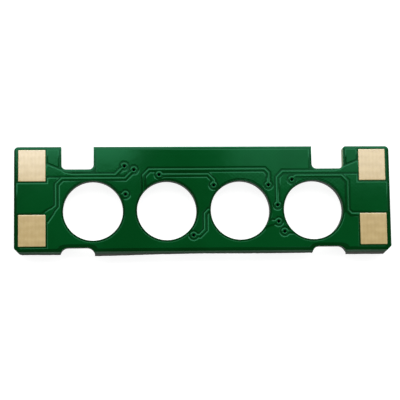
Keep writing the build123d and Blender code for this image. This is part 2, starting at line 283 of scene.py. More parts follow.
# Gold: soft nickel and gold plating, matte, with the cloth's weave and fine brush marks in it
goldLook = {
    "warm": (0.42, 0.288, 0.082),
    "pale": (0.535, 0.39, 0.144),
    "polish": {"Metallic": 0.2, "Coat Weight": 1.0, "Coat IOR": 2.8, "Coat Roughness": 0.14},
    "bandPitch": 0.82,
    "warpPitch": 0.4,
    "wander": {"scale": 0.9},
    "bandTurn": 2.5,
    "warpTurn": 1.5,
    "threads": {"bands": 0.6, "warps": 0.35},
    "cloud": {"scale": 1.4, "detail": 4, "roughness": 0.6},
    "grain": {"scale": 40, "roughness": 0.6, "stretch": (1, 0.25, 1)},
    "shares": {"cloud": 0.7, "weave": 0.1, "grain": 0.25},
    "contrast": (0.2, 0.8),
    "roughness": {"base": 0.3, "cloud": 0.25, "grain": 0.15},
    "relief": {"weave": 0.0012, "grain": 0.0006, "cloud": 0.002},
    "strength": 0.8,
}


def makeGold():
    material, shader, spot = newMaterial("goldPlate", **goldLook["polish"])
    wander = spot.noise(**goldLook["wander"])
    bands = spot.part("Y").wave(goldLook["bandPitch"], wander * goldLook["bandTurn"])
    warps = spot.part("X").wave(goldLook["warpPitch"], wander * goldLook["warpTurn"])
    weave = weighted(goldLook["threads"], bands=bands, warps=warps)
    cloud = spot.noise(**goldLook["cloud"])
    grain = spot.noise(**goldLook["grain"])
    shade = weighted(goldLook["shares"], cloud=cloud, weave=weave, grain=grain)
    feed(shader, Base_Color=shade.between(*goldLook["contrast"]).tint(goldLook["warm"], goldLook["pale"]))
    feed(shader, Roughness=weighted(goldLook["roughness"], cloud=cloud, grain=grain))
    relief = weighted(goldLook["relief"], weave=weave, grain=grain, cloud=cloud)
    feed(shader, Normal=bump(relief, goldLook["strength"]))
    return material


# Laminate: layers of glass cloth in resin, with painted shade on the walls of the punched holes and notches,
# and darker where it was scored and torn
laminateLook = {
    "resin": (0.17, 0.20, 0.10),
    "glass": (0.36, 0.46, 0.29),
    # painted shade for the walls of the holes and notches
    "punched": ((0.004, 0.022, 0.009), (0.02, 0.045, 0.022)),
    "score": ((0.012, 0.045, 0.022), (0.046, 0.106, 0.06)),
    "scoreEdge": (0.44, 0.5),
    "torn": ((0.019, 0.023, 0.018), (0.084, 0.092, 0.078)),
    "tornEdge": (0.22, 0.3),
    "tornFray": 0.12,
    "specular": 0.35,
    "layers": 7,
    "bend": {"scale": 2.2, "stretch": (0.5, 0.5, 0.1)},
    "bendTurn": 1.2,
    "bundle": {"scale": 4.5, "detail": 3, "roughness": 0.6, "stretch": (1, 1, 0.2)},
    "fibre": {"scale": 30, "detail": 3, "roughness": 0.7, "stretch": (1, 1, 3)},
    "shares": {"layer": 0.55, "bundle": 0.35, "fibre": 0.3},
    "contrast": (0.35, 0.95),
    "roughness": {"base": 0.55, "fibre": 0.35},
    "relief": {"fibre": 0.02, "layer": 0.01, "bundle": 0.015},
    "strength": 0.9,
}


def makeLaminate():
    material, shader, spot = newMaterial("laminate", **{"Specular IOR Level": laminateLook["specular"]})
    depth = (spot.part("Z") - heights["back"]) / (heights["front"] - heights["back"])
    bend = spot.noise(**laminateLook["bend"]) * laminateLook["bendTurn"]
    layer = depth.wave(1 / laminateLook["layers"], bend).lifted()
    bundle = spot.noise(**laminateLook["bundle"])
    fibre = spot.noise(**laminateLook["fibre"])
    shade = weighted(laminateLook["shares"], layer=layer, bundle=bundle, fibre=fibre)
    pale = shade.between(*laminateLook["contrast"])
    inward = spot.part("Y") - sides["lower"]
    fray = (fibre - 0.5) * laminateLook["tornFray"]
    punched = spot.made("ShaderNodeAttribute", outlet="Fac", attribute_name="punched")
    scored = 1 - inward.between(*laminateLook["scoreEdge"])
    torn = 1 - (inward + fray).between(*laminateLook["tornEdge"])
    tone = pale.tint(laminateLook["resin"], laminateLook["glass"])
    # painted shade: the walls of the holes and notches take a darker tone
    tone = punched.over(tone, pale.tint(*laminateLook["punched"]))
    tone = scored.over(tone, fibre.tint(*laminateLook["score"]))
    feed(shader, Base_Color=torn.over(tone, fibre.tint(*laminateLook["torn"])))
    feed(shader, Roughness=weighted(laminateLook["roughness"], fibre=fibre))
    relief = weighted(laminateLook["relief"], fibre=fibre, layer=layer, bundle=bundle)
    feed(shader, Normal=bump(relief, laminateLook["strength"]))
    return material


# Plain metals of the vias, leads, lands and joints: a colour, fine grain and a little tarnish.
# The vias are copper that a film of mask has run over.
metalLook = {
    "viaCopper": {"bright": (0.15, 0.22, 0.09), "dull": (0.03, 0.075, 0.02), "roughness": 0.35, "scale": 22},
    "tinPlate": {"bright": (0.78, 0.78, 0.77), "dull": (0.5, 0.49, 0.46), "roughness": 0.36, "scale": 16},
    "solder": {"bright": (0.76, 0.77, 0.79), "dull": (0.46, 0.47, 0.49), "roughness": 0.22, "scale": 7},
    "grain": {"detail": 3, "roughness": 0.65},
    "cloud": {"detail": 3, "roughness": 0.6},
    "cloudScale": 0.22,
    "shares": {"cloud": 0.7, "grain": 0.4},
    "contrast": (0.3, 0.75),
    "tarnish": 0.22,
    "relief": {"grain": 0.004, "cloud": 0.006},
    "strength": 0.7,
}


def makeMetal(name):
    look = metalLook[name]
    material, shader, spot = newMaterial(name, Metallic=1.0)
    cloud = spot.noise(look["scale"] * metalLook["cloudScale"], **metalLook["cloud"])
    grain = spot.noise(look["scale"], **metalLook["grain"])
    shade = weighted(metalLook["shares"], cloud=cloud, grain=grain).between(*metalLook["contrast"])
    feed(shader, Base_Color=shade.tint(look["dull"], look["bright"]))
    feed(shader, Roughness=look["roughness"] + (1 - shade) * metalLook["tarnish"])
    relief = weighted(metalLook["relief"], grain=grain, cloud=cloud)
    feed(shader, Normal=bump(relief, metalLook["strength"]))
    return material


# Moulded body: black resin, sparkled by its filler, matte from the mould
mouldLook = {
    "deep": (0.010, 0.010, 0.011),
    "pale": (0.032, 0.032, 0.034),
    "specular": 0.4,
    "spark": {"scale": 34, "detail": 4, "roughness": 0.75},
    "cloud": {"scale": 2.5},
    "shares": {"spark": 0.7, "cloud": 0.3},
    "contrast": (0.3, 0.75),
    "roughness": {"base": 0.33, "spark": 0.3},
    "relief": {"spark": 0.012},
    "strength": 0.8,
}


def makeMould():
    material, shader, spot = newMaterial("mould", **{"Specular IOR Level": mouldLook["specular"]})
    spark = spot.noise(**mouldLook["spark"])
    cloud = spot.noise(**mouldLook["cloud"])
    shade = weighted(mouldLook["shares"], spark=spark, cloud=cloud).between(*mouldLook["contrast"])
    feed(shader, Base_Color=shade.tint(mouldLook["deep"], mouldLook["pale"]))
    feed(shader, Roughness=weighted(mouldLook["roughness"], spark=spark))
    feed(shader, Normal=bump(weighted(mouldLook["relief"], spark=spark), mouldLook["strength"]))
    return material


# Ceramic chips: brown barium ceramic, and white alumina with a dark glaze on its outer face
ceramicLook = {
    "capacitor": {"deep": (0.20, 0.125, 0.075), "pale": (0.34, 0.235, 0.15)},
    "resistor": {"deep": (0.66, 0.66, 0.63), "pale": (0.84, 0.84, 0.81)},
    "specular": 0.45,
    "cloud": {"scale": 5, "detail": 3, "roughness": 0.6},
    "grain": {"scale": 38, "detail": 3, "roughness": 0.7},
    "shares": {"cloud": 0.55, "grain": 0.45},
    "contrast": (0.3, 0.7),
    "roughness": {"base": 0.42, "grain": 0.2},
    "relief": {"grain": 0.006},
    "strength": 0.7,
}
glazeLook = {
    "tones": ((0.012, 0.012, 0.013), (0.03, 0.03, 0.032)),
    "edge": (0.02, 0.045),
    "fray": 0.03,
    "gloss": 0.25,
}


def makeCeramic(name):
    look = ceramicLook[name]
    gloss = {"Specular IOR Level": ceramicLook["specular"]}
    material, shader, spot = newMaterial(name + "Ceramic", **gloss)
    cloud = spot.noise(**ceramicLook["cloud"])
    grain = spot.noise(**ceramicLook["grain"])
    shade = weighted(ceramicLook["shares"], cloud=cloud, grain=grain).between(*ceramicLook["contrast"])
    tone = shade.tint(look["deep"], look["pale"])
    rough = weighted(ceramicLook["roughness"], grain=grain)
    if name == "resistor":
        inward = spot.part("Z") + (cloud - 0.5) * glazeLook["fray"] - level("resistor_body", 0)
        glazed = 1 - inward.between(*glazeLook["edge"])
        tone = glazed.over(tone, grain.tint(*glazeLook["tones"]))
        rough = rough - glazed * glazeLook["gloss"]
    relief = weighted(ceramicLook["relief"], grain=grain)
    feed(shader, Base_Color=tone, Roughness=rough, Normal=bump(relief, ceramicLook["strength"]))
    return material


materials = {
    "laminate": makeLaminate(),
    "mask": makeMask("maskOnLaminate", "laminate"),
    "coated_copper": makeMask("maskOnCopper", "copper"),
    "gold": makeGold(),
    "via_copper": makeMetal("viaCopper"),
    "tin": makeMetal("tinPlate"),
    "solder": makeMetal("solder"),
    "mould": makeMould(),
    "capacitor_ceramic": makeCeramic("capacitor"),
    "resistor_ceramic": makeCeramic("resistor"),
}
for row in frame["record"]["subparts"]:
    nodeMesh = nodes[row["node"]].data
    nodeMesh.materials.clear()
    nodeMesh.materials.append(materials[row["material_slot"]])
print("stage: materials made")


# Loops: closed rows of flat spots, with the material on their left seen from +Z
def pairsOf(ring):
    # each item of a closed row with the next
    return list(zip(ring, ring[1:] + ring[:1]))


def triosOf(ring):
    # each item of a closed row between the one before it and the next
    return list(zip(ring[-1:] + ring[:-1], ring, ring[1:] + ring[:1]))


def middleOf(spots):
    return sum(spots, Vector((0, 0))) / len(spots)


def loopArea(loop):
    return sum(a.x * b.y - a.y * b.x for a, b in pairsOf(loop)) / 2


def crossings(spots, loop):
    # how many edges of the loop lie to the right of each spot
    x, y = spots[:, :1], spots[:, 1:]
    starts = numpy.array(loop)
    ends = numpy.roll(starts, -1, axis=0)
    rise = ends[:, 1] - starts[:, 1]
    slant = (ends[:, 0] - starts[:, 0]) / numpy.where(rise == 0, 1, rise)
    spans = (starts[:, 1] > y) != (ends[:, 1] > y)
    return (spans & (x < slant * (y - starts[:, 1]) + starts[:, 0])).sum(axis=1)


def islandsOf(loops):
    # each outer loop with the holes in it
    outers = sorted((loop for loop in loops if loopArea(loop) > 0), key=loopArea)
    islands = [[outer] for outer in outers]
    for hole in (loop for loop in loops if loopArea(loop) < 0):
        for island in islands:
            if crossings(numpy.array(hole[:1]), island[0])[0] % 2:
                island.append(hole)
                break
    return islands


def joined(rings):
    # the spots of all rings, and their edges as pairs of places
    spots, links = [], []
    for ring in rings:
        first = len(spots)
        spots += ring
        links += pairsOf(list(range(first, first + len(ring))))
    return spots, links


# A face is flat where its normal points this much up or down, and its spots keep these digits
flatLook = {"upward": 0.99, "digits": 3}


def flatLoops(node, height, up=1):
    # the loops round a node's flat faces at one height, of those that face up (1) or down (-1)
    mesh = nodes[node].data
    runs = set()
    for face in mesh.polygons:
        spots = [mesh.vertices[place].co * perMetre for place in face.vertices]
        if face.normal.z * up > flatLook["upward"] and abs(spots[0].z - height) < near["level"]:
            keys = [tuple(round(value, flatLook["digits"]) for value in spot.xy) for spot in spots]
            runs.update(pairsOf(keys[::up]))
    ahead = {start: end for start, end in runs if (end, start) not in runs}
    loops = []
    while ahead:
        start, spot = ahead.popitem()
        loop = [start]
        while spot != start:
            loop.append(spot)
            spot = ahead.pop(spot)
        loops.append([Vector(spot) for spot in loop])
    return loops


# Round shapes: the holes and vias, which the frame has in straight runs, drawn again as arcs.
# An edge belongs to an arc where it lies within the slack outside its radius.
roundLook = {
    "hole": {"slack": 0.01, "swell": 1.0, "step": 3},
    "clearance": {"slack": 0.01, "swell": 1.004, "step": 3},
    "via": {"slack": 0.085, "swell": 1.034, "step": 12},
    "viaRings": {"drilling": 0.16, "tube": 0.185, "land": 0.33, "clearance": 0.53},
    "viaMouth": 0.2,
    "pullback": 0.2,  # how far the ground stays from a hole
    "inside": 0.006,
    "straight": 0.002,
    "spacing": 0.018,
    "cutShare": 0.12,  # shares of a rim's run, at a hole and round it
    "shoulderShare": 0.62,
}
holes = [
    (Vector(mount["pos_m"][:2]) * perMetre, mount["dims"]["r_mm"])
    for mount in mounts.values()
    if mount["kind"] == "bore"
]
vias = [middleOf(loop) for loop in flatLoops("via_barrels", heights["front"]) if loopArea(loop) > 0]
arcs = [{"centre": centre, "radius": radius, **roundLook["hole"]} for centre, radius in holes]
for centre, radius in holes:
    arcs.append({"centre": centre, "radius": radius + roundLook["pullback"], **roundLook["clearance"]})
for centre in vias:
    for radius in roundLook["viaRings"].values():
        arcs.append({"centre": centre, "radius": radius, **roundLook["via"]})


def arcUnder(a, b):
    # the arc that an edge belongs to, if any
    match = None
    for arc in arcs:
        past = [(spot - arc["centre"]).length / arc["radius"] - 1 for spot in (a, b, (a + b) / 2)]
        if min(past) > -roundLook["inside"] and max(past) < arc["slack"]:
            match = arc
    return match


def roundLoop(loop):
    # spots on straight edges are left out, and runs of short edges round a hole or a via become true arcs
    loop = [
        spot
        for before, spot, after in triosOf(loop)
        if (spot - before).angle(after - spot) > roundLook["straight"]
    ]
    found = [arcUnder(a, b) for a, b in pairsOf(loop)]
    rounded = []
    for place, spot in enumerate(loop):
        arc = found[place] or found[place - 1]
        if arc:
            spot = arc["centre"] + (spot - arc["centre"]).normalized() * arc["radius"] * arc["swell"]
        rounded.append(spot)
    fine = []
    for (spot, after), arc in zip(pairsOf(rounded), found):
        fine.append(spot)
        if arc:
            start, end = spot - arc["centre"], after - arc["centre"]
            sweep = -start.angle_signed(end)
            pieces = max(1, math.ceil(abs(math.degrees(sweep)) / arc["step"]))
            for share in range(1, pieces):
                fine.append(arc["centre"] + Matrix.Rotation(sweep * share / pieces, 2) @ start)
    return [spot for before, spot, _ in triosOf(fine) if (spot - before).length > roundLook["spacing"]]


def isOnHole(spot):
    # on the rim of a round hole, or in the mouth of a via
    return any(abs((spot - centre).length - radius) < near["rim"] for centre, radius in holes) or any(
        (spot - centre).length < roundLook["viaMouth"] for centre in vias
    )


def rimShare(spot):
    # layers end abruptly where a hole was punched, and the copper round it is a little steeper
    for centre, radius in holes:
        past = (spot - centre).length - radius
        if abs(past) < near["rim"]:
            return roundLook["cutShare"]
        if abs(past - roundLook["pullback"]) < near["rim"]:
            return roundLook["shoulderShare"]
    return 1


# Rims: the loops of a layer move in as it rises, and less far where they would cross
rimLook = {
    "bluntest": 0.5,  # keeps the ways in short at sharp turns
    "clear": 0.03,  # spots nearer to a crossing than this are left out
    "clearTries": 10,
    "tight": 0.05,  # spots nearer to a crossing than this move less
    "tightShrink": 0.75,
    "tightTries": 120,
}


def waysIn(loop):
    # at each spot of a loop, the way into the material, longer where the loop turns
    ways = []
    for before, spot, after in triosOf(loop):
        first, second = (spot - before).normalized(), (after - spot).normalized()
        across = Vector((-first.y - second.y, first.x + second.x))
        ways.append(across / max(rimLook["bluntest"], 1 + first.dot(second)))
    return ways


def insetLoop(loop, ways, rooms, run):
    # the loop moved into the material by run, or out of it if run is negative, but not out over a hole
    moved = []
    for spot, way, room in zip(loop, ways, rooms):
        reach = max(-room, min(run * rimShare(spot), room))
        moved.append(spot + way * (0 if run < 0 and isOnHole(spot) else reach))
    return moved


def unfolded(loops):
    # the loops without the spots beside which they cross
    for _ in range(rimLook["clearTries"]):
        found, _, _, sources, _, _ = delaunay_2d_cdt(*joined(loops), [], 0, near["join"])
        crossed = [spot for spot, source in zip(found, sources) if not source]
        if not crossed:
            break
        loops = [
            [spot for spot in loop if all((spot - other).length > rimLook["clear"] for other in crossed)]
            for loop in loops
        ]
    return loops


def tightPlaces(rings):
    # the places, counted through all rings, of the spots beside which the rings cross
    spots, links = joined(rings)
    found, edges, _, sources, origins, _ = delaunay_2d_cdt(spots, links, [], 0, near["join"])
    crossed = [spot for spot, source in zip(found, sources) if not source]
    tight = {
        place
        for place, spot in enumerate(spots)
        if any((spot - other).length < rimLook["tight"] for other in crossed)
    }
    for edge, origin in zip(edges, origins):
        if not all(sources[end] for end in edge):
            tight.update(place for link in origin for place in links[link])
    return tight


def roomsFor(island, ways, runs):
    # how far each spot of an island's loops may move, tried with both runs in turn
    rooms = [[max(map(abs, runs))] * len(loop) for loop in island]
    calm = 0
    for turn in range(rimLook["tightTries"]):
        run = runs[turn % len(runs)]
        tight = tightPlaces([insetLoop(*parts, run) for parts in zip(island, ways, rooms)])
        calm = 0 if tight else calm + 1
        if calm == len(runs):
            break
        place = 0
        for row in rooms:
            for item in range(len(row)):
                row[item] *= rimLook["tightShrink"] if place in tight else 1
                place += 1
    return rooms


# Pieces: edges past this angle stay sharp
finishLook = {"sharp": 40}


def pieceName(*words):
    return words[0] + "".join(word.title() for word in words[1:])


def vertsIn(geometry):
    return [part for part in geometry if isinstance(part, bmesh.types.BMVert)]


def ringEdges(mesh, ring):
    return [mesh.edges.get(pair) for pair in pairsOf(ring)]


def makeObject(name, mesh, slot, replaced=()):
    # a finished piece from a mesh drawn in millimetres
    data = bpy.data.meshes.new(name)
    mesh.to_mesh(data)
    mesh.free()
    data.transform(Matrix.Scale(1 / perMetre, 4))
    data.polygons.foreach_set("use_smooth", [True] * len(data.polygons))
    lean = data.attributes.get("lean")
    if lean:
        data.normals_split_custom_set_from_vertices([Vector(row.vector) for row in lean.data])
        data.attributes.remove(data.attributes["lean"])
    else:
        data.set_sharp_from_angle(angle=math.radians(finishLook["sharp"]))
    data.materials.append(materials[slot])
    piece = bpy.data.objects.new(name, data)
    scene.collection.objects.link(piece)
    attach(piece, "root")
    if replaced:
        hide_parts(*replaced)


def soften(mesh, edges, reach, steps):
    # the edges are rounded off
    bmesh.ops.bevel(
        mesh, geom=edges, offset=reach, segments=steps, profile=0.5, affect="EDGES", material=-1
    )


def growRing(mesh, ring, spots):
    # a closed ring of vertices at the spots, extruded from the ring before it if there is one
    if ring is None:
        fresh = [mesh.verts.new(spot) for spot in spots]
        for pair in pairsOf(fresh):
            mesh.edges.new(pair)
        return fresh
    made = set(bmesh.ops.extrude_edge_only(mesh, edges=ringEdges(mesh, ring))["geom"])
    fresh = []
    for vert, spot in zip(ring, spots):
        grown = next(edge.other_vert(vert) for edge in vert.link_edges if edge.other_vert(vert) in made)
        grown.co = spot
        fresh.append(grown)
    return fresh


def fillRings(mesh, rings, side):
    # flat faces between closed rings of vertices, and the vertices that were added where rings touch
    loops = [[vert.co.xy for vert in ring] for ring in rings]
    corners = [vert for ring in rings for vert in ring]
    height = corners[0].co.z
    found, _, faces, sources, _, _ = delaunay_2d_cdt(*joined(loops), [], 0, near["join"])
    verts, added = [], []
    for spot, source in zip(found, sources):
        verts.append(corners[source[0]] if source else mesh.verts.new((spot.x, spot.y, height)))
        if not source:
            added.append(verts[-1])
    middles = numpy.array([middleOf([found[place] for place in face]) for face in faces])
    for face, crossed in zip(faces, sum(crossings(middles, loop) for loop in loops)):
        if crossed % 2:
            way = face if loopArea([found[place] for place in face]) * side > 0 else face[::-1]
            mesh.faces.new([verts[place] for place in way])
    return added


def risen(rim, height, side=1):
    # a rim's profile with its rises over a height made heights
    return [(run, height + rise * side) for run, rise in rim]


def reliefMesh(loops, profile, side=1):
    # a flat layer whose rim follows a profile of runs into the material and heights
    slopes = []
    for (run, height), (nextRun, nextHeight) in zip(profile, profile[1:]):
        slopes.append(Vector(((nextHeight - height) * side, nextRun - run)).normalized())
    tilts = [slopes[0]] + [(a + b).normalized() for a, b in zip(slopes, slopes[1:])] + [Vector((0, 1))]
    mesh = bmesh.new()
    lean = mesh.verts.layers.float_vector.new("lean")
    feet = []
    for island in islandsOf(loops):
        feet.append([])
        rims = []
        island = unfolded([roundLoop(loop) for loop in island])
        islandWays = [waysIn(loop) for loop in island]
        islandRooms = roomsFor(island, islandWays, (profile[-1][0], profile[0][0]))
        for loop, ways, rooms in zip(island, islandWays, islandRooms):
            inward = [way.normalized() for way in ways]
            shares = [rimShare(spot) for spot in loop]
            rings = [None]
            for (run, height), tilt in zip(profile, tilts):
                spots = [(spot.x, spot.y, height) for spot in insetLoop(loop, ways, rooms, run)]
                rings.append(growRing(mesh, rings[-1], spots))
                for vert, way, share in zip(rings[-1], inward, shares):
                    steep = Vector((tilt.x, tilt.y * share)).normalized()
                    vert[lean] = (-way.x * steep.x, -way.y * steep.x, side * steep.y)
            feet[-1].append(rings[1])
            rims.append(rings[-1])
        for vert in fillRings(mesh, rims, side):
            vert[lean] = (0, 0, side)
    # the faces are turned to the side that their corners lean to, and the layer is closed below
    mesh.normal_update()
    turned = [face for face in mesh.faces if sum(vert[lean].dot(face.normal) for vert in face.verts) < 0]
    bmesh.ops.reverse_faces(mesh, faces=turned)
    for rings in feet:
        fillRings(mesh, rings, -side)
    return mesh


# Corners that are sharp in the frame: a worn one on the right tab, and the ground's round the lower notches
cornerLook = {"worn": (0.3, 0.3), "pocket": (1.1, 0.43), "steps": 6}


def easedLoop(loop, corners, reach):
    # the loop with some of its corners rounded off, over a reach along x and along y
    eased = []
    for before, spot, after in triosOf(loop):
        if all((spot - corner).length > near["corner"] for corner in corners):
            eased.append(spot)
            continue
        legs = [(other - spot).normalized() for other in (before, after)]
        back, ahead = [Vector((leg.x * reach[0], leg.y * reach[1])) for leg in legs]
        for step in range(cornerLook["steps"] + 1):
            angle = math.radians(90 * step / cornerLook["steps"])
            eased.append(spot + back * (1 - math.sin(angle)) + ahead * (1 - math.cos(angle)))
    return eased


boardLoops = flatLoops("board_core", heights["front"])
groundLoops = flatLoops("front_ground", heights["coat"])
notchAt = mounts["right_notch"]["pos_m"][0] * perMetre
tabCorners = [
    spot
    for loop in boardLoops
    for spot in loop
    if spot.x > notchAt and spot.y > sides["upper"] - near["edge"]
]
wornCorner = min(tabCorners, key=lambda spot: spot.x)
groundEdge = min(spot.y for loop in groundLoops for spot in loop)
pocketCorners = [
    spot
    for loop in groundLoops
    for before, spot, after in triosOf(loop)
    if (spot - before).cross(after - spot) < 0 and min(before.y, after.y) < groundEdge + near["edge"]
]


def wornLoops(loops):
    return [easedLoop(loop, [wornCorner], cornerLook["worn"]) for loop in loops]


# Front: a sheet of mask that thins at its edges, and the copper standing in it with soft shoulders.
# A rim has a run into the material and a rise over the mask's face at each step.
skinLook = {"foot": 0.004, "rim": ((0.05, -0.014), (0.14, -0.006), (0.26, 0.0)), "leastHole": 1}
shoulderLook = {"rim": ((-0.05, -0.001), (-0.015, 0.006), (0.015, 0.021), (0.05, 0.038)), "top": 0.085}
film, coat = heights["film"], heights["coat"]
skinProfile = [(0.0, heights["front"] + skinLook["foot"]), *risen(skinLook["rim"], film)]
makeObject("frontSkin", reliefMesh(wornLoops(boardLoops), skinProfile), "mask", ["front_mask"])
shoulderProfile = [*risen(shoulderLook["rim"], film), (shoulderLook["top"], coat)]
for node in nodes:
    if node == "front_ground" or node.endswith("_net"):
        loops = [easedLoop(loop, pocketCorners, cornerLook["pocket"]) for loop in flatLoops(node, coat)]
        title = pieceName(*node.split("_"), "relief")
        makeObject(title, reliefMesh(loops, shoulderProfile), "coated_copper", [node])
print("stage: front relief made")


# Gold contacts: plates with soft edges and small round corners
contactLook = {
    "corner": 0.07,
    "cornerSteps": 5,
    "rim": ((0.0, -0.004), (0.013, 0.018), (0.033, 0.029)),
    "top": 0.06,
}


def roundedBox(low, high, radius, steps):
    # a loop round a rectangle
    left, right, lower, upper = low.x + radius, high.x - radius, low.y + radius, high.y - radius
    corners = ((right, lower), (right, upper), (left, upper), (left, lower))
    loop = []
    for quarter, corner in enumerate(corners, start=-1):
        for step in range(steps + 1):
            angle = math.radians(90 * (quarter + step / steps))
            loop.append(Vector(corner) + Vector((math.cos(angle), math.sin(angle))) * radius)
    return loop


contactProfile = [*risen(contactLook["rim"], film), (contactLook["top"], heights["gold"])]
for node in nodes:
    if node.endswith("_contact"):
        low, high = (corner.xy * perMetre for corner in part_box(node))
        outline = roundedBox(low, high, contactLook["corner"], contactLook["cornerSteps"])
        title = pieceName(*node.split("_")[:-1], "plate")
        makeObject(title, reliefMesh([outline], contactProfile), "gold", [node])

# Via tubes: round, with a soft lip at the front
tubeLook = {"lipRise": 0.004, "lipIn": 0.008, "segments": 28}
tubeInner, tubeOuter = roundLook["viaRings"]["drilling"], roundLook["viaRings"]["tube"]
tubeWalls = (
    (tubeOuter, heights["back"]),
    (tubeOuter, heights["front"]),
    (tubeOuter - tubeLook["lipIn"], film + tubeLook["lipRise"]),
    (tubeInner, heights["front"]),
    (tubeInner, heights["back"]),
)
tubeMesh = bmesh.new()
for centre in vias:
    spots = [(centre.x + radius, centre.y, height) for radius, height in tubeWalls]
    section = growRing(tubeMesh, None, spots)
    bmesh.ops.spin(
        tubeMesh,
        geom=section + ringEdges(tubeMesh, section),
        cent=(centre.x, centre.y, 0),
        axis=(0, 0, 1),
        angle=2 * math.pi,
        steps=tubeLook["segments"],
        use_merge=True,
    )
bmesh.ops.recalc_face_normals(tubeMesh, faces=tubeMesh.faces)
makeObject("viaTubes", tubeMesh, "via_copper", ["via_barrels"])
print("stage: contacts and vias made")


# Board: the laminate, with its lower edge torn unevenly where it was snapped from the panel
tearLook = {
    "ledge": 0.24,
    "step": 0.14,
    "rows": 4,
    "bites": (  # a place along the edge, and how far the tear cuts back there
        (-20, 0.17), (-15, 0.15), (-11.5, 0.0), (-8, 0.06), (-6, 0.12),
        (0, 0.2), (6, 0.16), (11.5, 0.18), (15, 0.0),
    ),
    "biteLess": 0.01,
    "ragged": {"pace": (3.1, 7), "seed": 8, "depth": 0.05},
    "rough": {"pace": (2.3, 9), "seed": 4, "depth": 0.35},
}
notchLook = {"over": 0.1, "under": 0.2, "halfWidth": 2}
mergeLook = {"join": 0.0005, "flat": 0.5}


def mergedCopy(node):
    # a node's mesh in millimetres, with its triangles joined to flat faces
    mesh = bmesh.new()
    mesh.from_mesh(nodes[node].data)
    bmesh.ops.scale(mesh, vec=(perMetre, perMetre, perMetre), verts=mesh.verts)
    bmesh.ops.remove_doubles(mesh, verts=mesh.verts, dist=mergeLook["join"])
    flat = math.radians(mergeLook["flat"])
    bmesh.ops.dissolve_limit(mesh, angle_limit=flat, verts=mesh.verts, edges=mesh.edges)
    return mesh


boardMesh = mergedCopy("board_core")
wornEdges = [
    edge
    for edge in boardMesh.edges
    if all((vert.co.xy - wornCorner).length < near["corner"] for vert in edge.verts)
]
soften(boardMesh, wornEdges, cornerLook["worn"][0], cornerLook["steps"])
ledgeTop = sides["lower"] + tearLook["ledge"]


def ledgeGeometry():
    # the faces, edges and vertices of the ledge below the scored edge
    limit = ledgeTop + near["edge"]
    faces = [face for face in boardMesh.faces if all(vert.co.y < limit for vert in face.verts)]
    edges = {edge for face in faces for edge in face.edges}
    verts = {vert for face in faces for vert in face.verts}
    return [*faces, *edges, *verts]


def biteAt(x):
    # how far the tear cuts back at a place along the edge
    bites = tearLook["bites"]
    for (left, first), (right, second) in zip(bites, bites[1:]):
        if left <= x <= right:
            return first + (second - first) * (x - left) / (right - left)
    return bites[-1][1]


def noiseAt(first, second, look):
    # noise from 0 to 1 over two places, times a depth
    spot = Vector((first * look["pace"][0], second * look["pace"][1], look["seed"]))
    return (0.5 + 0.5 * noise.noise(spot)) * look["depth"]


ledgeHeights = [vert.co.z for vert in vertsIn(ledgeGeometry())]
ledgeLow, ledgeHigh = min(ledgeHeights), max(ledgeHeights)
cuts = []
for row in range(1, tearLook["rows"]):
    share = row / tearLook["rows"]
    cuts.append(((0, 0, ledgeLow + (ledgeHigh - ledgeLow) * share), (0, 0, 1)))
    cuts.append(((0, sides["lower"] + tearLook["ledge"] * share, 0), (0, 1, 0)))
place = sides["left"] + tearLook["step"]
while place < sides["right"]:
    cuts.append(((place, 0, 0), (1, 0, 0)))
    place += tearLook["step"]
for spot, way in cuts:
    bmesh.ops.bisect_plane(boardMesh, geom=ledgeGeometry(), dist=near["cut"], plane_co=spot, plane_no=way)
middle = (ledgeLow + ledgeHigh) / 2
for vert in vertsIn(ledgeGeometry()):
    out = (ledgeTop - vert.co.y) / tearLook["ledge"]
    ragged = noiseAt(vert.co.x, vert.co.z, tearLook["ragged"])
    rough = noiseAt(vert.co.x, vert.co.y, tearLook["rough"])
    vert.co.y += out * max(0, biteAt(vert.co.x) + ragged - tearLook["biteLess"])
    vert.co.z += (middle - vert.co.z) * out * rough
bmesh.ops.triangulate(boardMesh, faces=[face for face in boardMesh.faces if len(face.verts) > 4])
# painted shade: the walls of the round holes and the lower notches, which were punched, are marked to be
# drawn darker
punched = boardMesh.verts.layers.float.new("punched")
for vert in boardMesh.verts:
    spot = vert.co.xy
    isNotch = ledgeTop + notchLook["over"] < spot.y < groundEdge + notchLook["under"]
    isNotch = isNotch and abs(abs(spot.x) - notchAt) < notchLook["halfWidth"]
    isHole = any(abs((spot - centre).length - radius) < near["wall"] for centre, radius in holes)
    vert[punched] = isNotch or isHole
makeObject("board", boardMesh, "laminate", ["board_core"])
print("stage: board made")


# Back: the mask, the tracks in it, and the bare lands
trackLook = {"rim": ((-0.05, -0.001), (-0.015, 0.006), (0.015, 0.021), (0.05, 0.035)), "top": 0.085}
landLook = {"foot": 0.004, "rim": ((0.03, -0.002), (0.06, 0.0))}
backFilm, backCoat = heights["backFilm"], heights["backCoat"]
# the mask on the back closes the vias
backLoops = flatLoops("board_core", heights["back"], -1)
backLoops = [loop for loop in backLoops if abs(loopArea(loop)) > skinLook["leastHole"]]
backProfile = [(0.0, heights["back"] - skinLook["foot"]), *risen(skinLook["rim"], backFilm, -1)]
makeObject("backSkin", reliefMesh(wornLoops(backLoops), backProfile, -1), "mask", ["back_mask"])
trackProfile = [*risen(trackLook["rim"], backFilm, -1), (trackLook["top"], backCoat)]
trackMesh = reliefMesh(flatLoops("back_copper", backCoat, -1), trackProfile, -1)
makeObject("backTracks", trackMesh, "coated_copper", ["back_copper"])
landProfile = [(0.0, backFilm + landLook["foot"]), *risen(landLook["rim"], heights["land"], -1)]
landMesh = reliefMesh(flatLoops("back_copper", heights["land"], -1), landProfile, -1)
makeObject("backLands", landMesh, "tin")
print("stage: back made")


